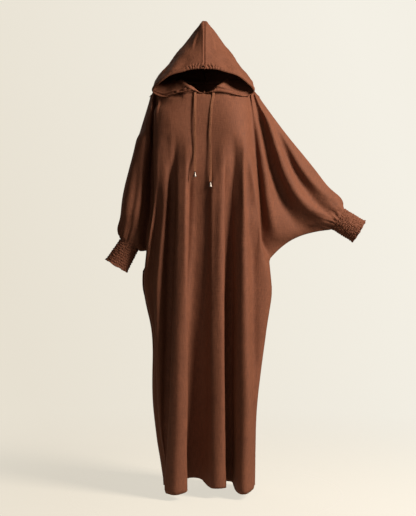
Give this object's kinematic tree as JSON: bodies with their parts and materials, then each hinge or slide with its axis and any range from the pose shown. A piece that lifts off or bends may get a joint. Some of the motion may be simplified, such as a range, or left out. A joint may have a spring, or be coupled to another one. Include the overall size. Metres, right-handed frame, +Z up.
{
  "type": "hooded abaya",
  "caption": "Long loose batwing abaya with a pointed drawstring hood, shirred cuffs and flat ties with bell-shaped metal ends.",
  "frame": {"origin": "middle of the base of the neck, between the shoulders, where the wearer carries the garment", "axes": "+Z up along the garment, -Y towards its front, +X towards the wearer's left"},
  "size_m": [0.9516, 0.3134, 1.702],
  "materials": {
    "crepe": "matte brown crepe",
    "cord_metal": "satin"
  },
  "bodies": {
    "root": {"front": "crepe", "back": "crepe", "hood_right": "crepe", "hood_left": "crepe", "cuff_right": "crepe", "cuff_left": "crepe", "drawstring_right": "crepe", "drawstring_left": "crepe", "cord_end_right": "cord_metal", "cord_end_left": "cord_metal"}
  },
  "joints": []
}
